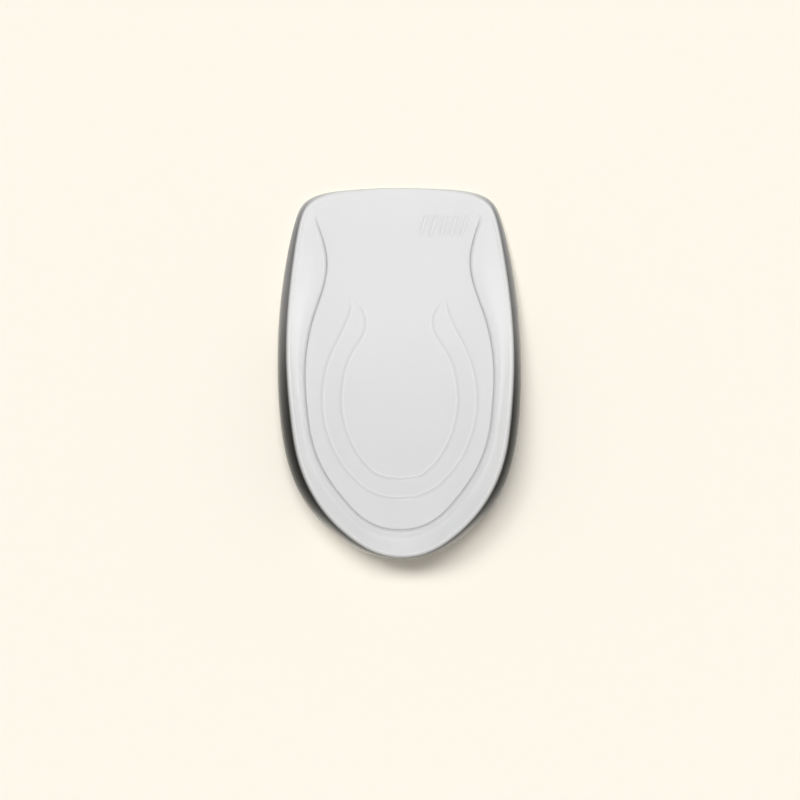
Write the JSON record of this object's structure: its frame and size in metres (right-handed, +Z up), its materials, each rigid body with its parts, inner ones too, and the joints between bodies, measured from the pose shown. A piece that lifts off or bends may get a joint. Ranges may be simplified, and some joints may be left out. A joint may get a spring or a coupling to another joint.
{
  "type": "heel cup",
  "caption": "Clear gel heel cup for a shoe: a thick seat under the heel, a wall rising round the sides and back, and a thin front edge.",
  "frame": {"origin": "under the middle of the cup's length and width, on the plane of the flat underside", "axes": "+Z up, +Y to the thin front edge (towards the toes), +X to the right seen from above with the front edge away"},
  "size_m": [0.0684, 0.104, 0.018],
  "materials": {
    "gel": "clear to milky silicone gel, smooth and softly glossy, smoky grey where the outer wall is seen edge on"
  },
  "bodies": {
    "root": {"heel_cup": "gel"}
  },
  "joints": []
}
